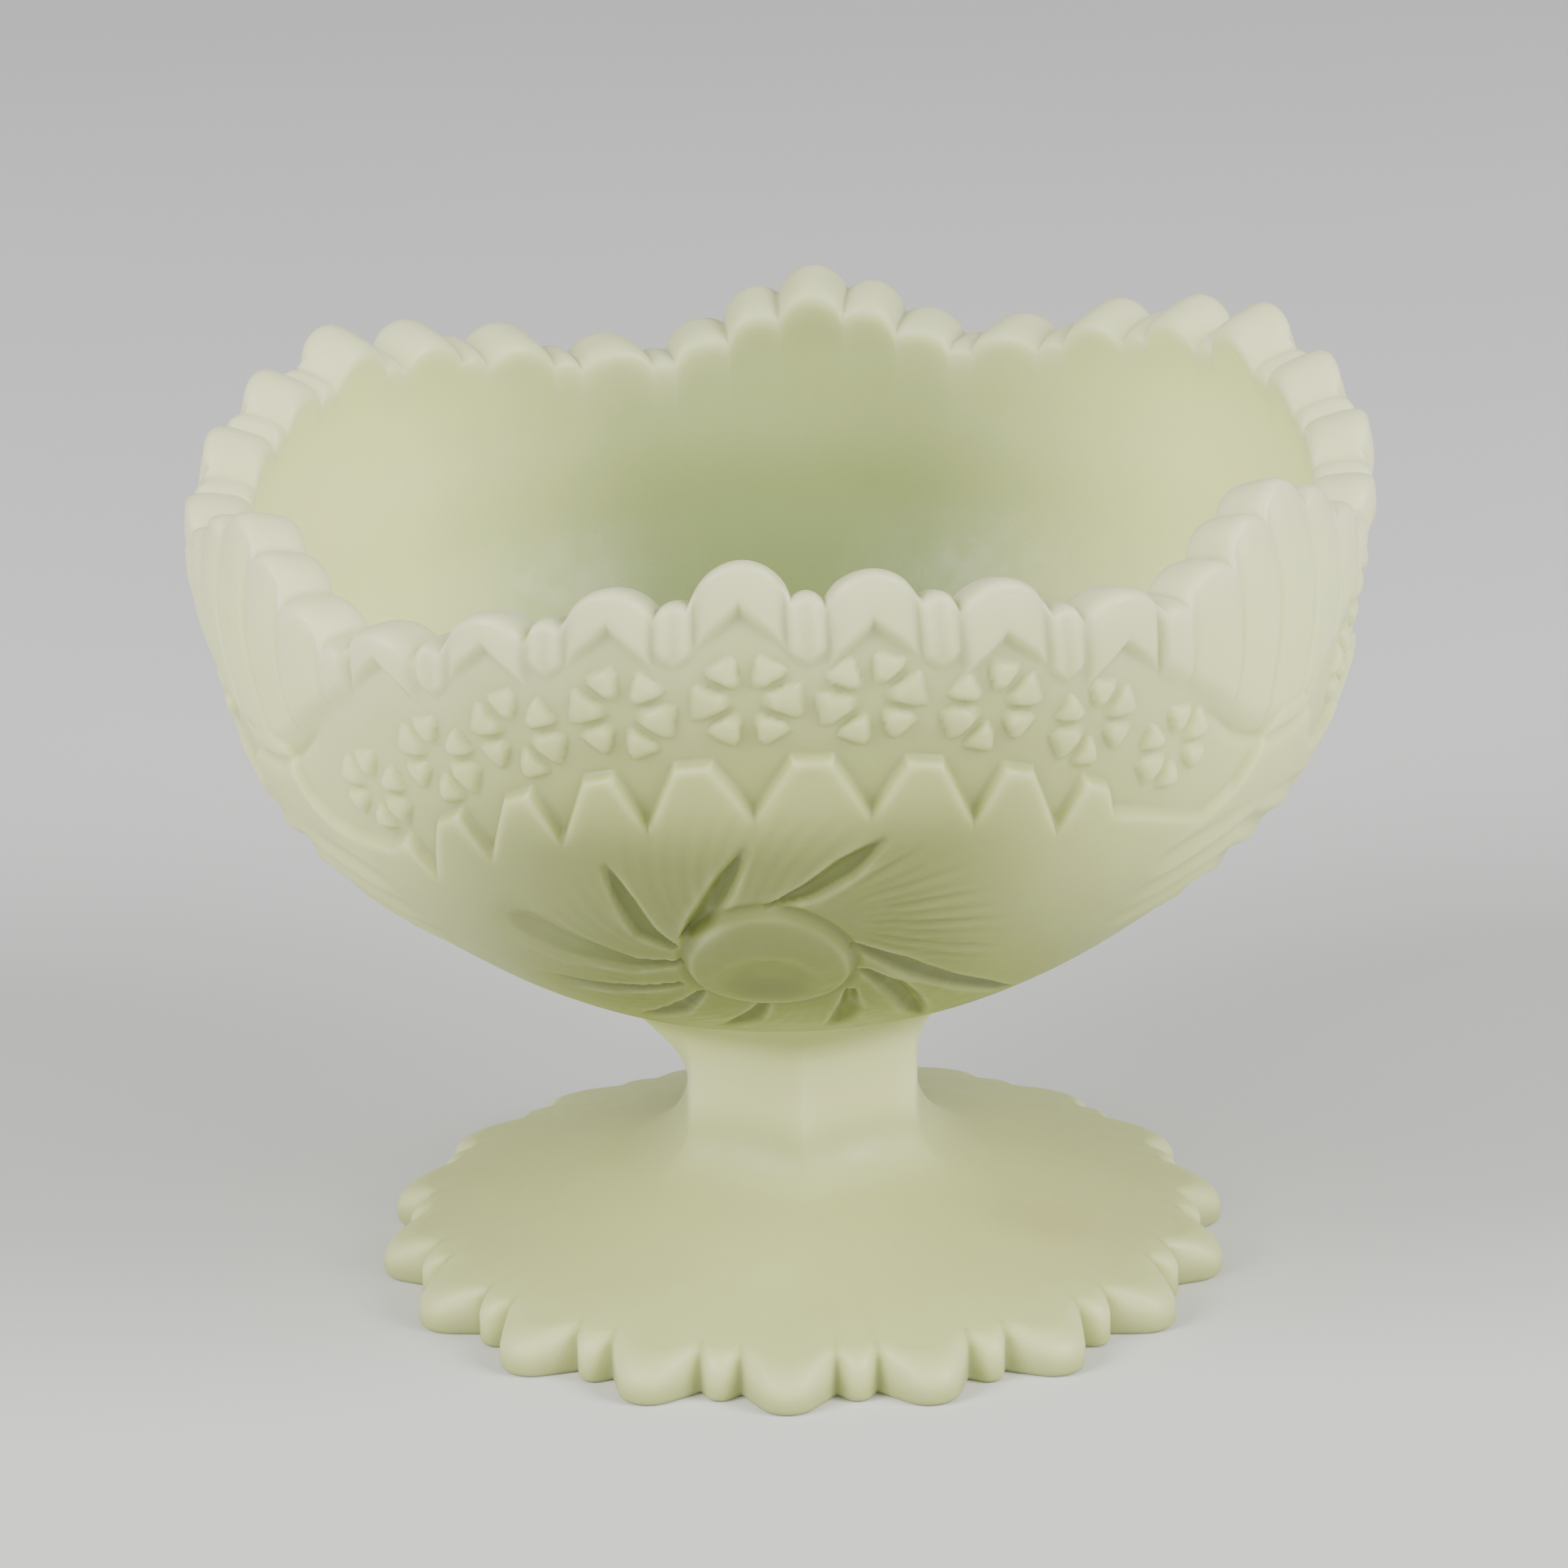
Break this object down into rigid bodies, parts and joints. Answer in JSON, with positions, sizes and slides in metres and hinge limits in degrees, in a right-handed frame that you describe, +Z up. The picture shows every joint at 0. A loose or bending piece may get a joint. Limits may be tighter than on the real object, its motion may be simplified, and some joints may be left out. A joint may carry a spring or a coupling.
{
  "type": "footed glass dish",
  "caption": "Footed dish of opaque satin pressed glass: deep scalloped bowl with pinwheel panels and leaf points, on a short six-sided stem and a round lobed foot.",
  "frame": {"origin": "centre of the foot's resting ring, on the surface the dish stands on", "axes": "+Z up through the foot and stem; the front pinwheel panel faces -Y, and the bowl leans slightly towards -X"},
  "size_m": [0.1558, 0.1558, 0.1227],
  "materials": {
    "satin_glass": "satin opaque pale yellow-green"
  },
  "bodies": {
    "root": {"foot": "satin_glass", "stem": "satin_glass", "bowl": "satin_glass"}
  },
  "joints": []
}
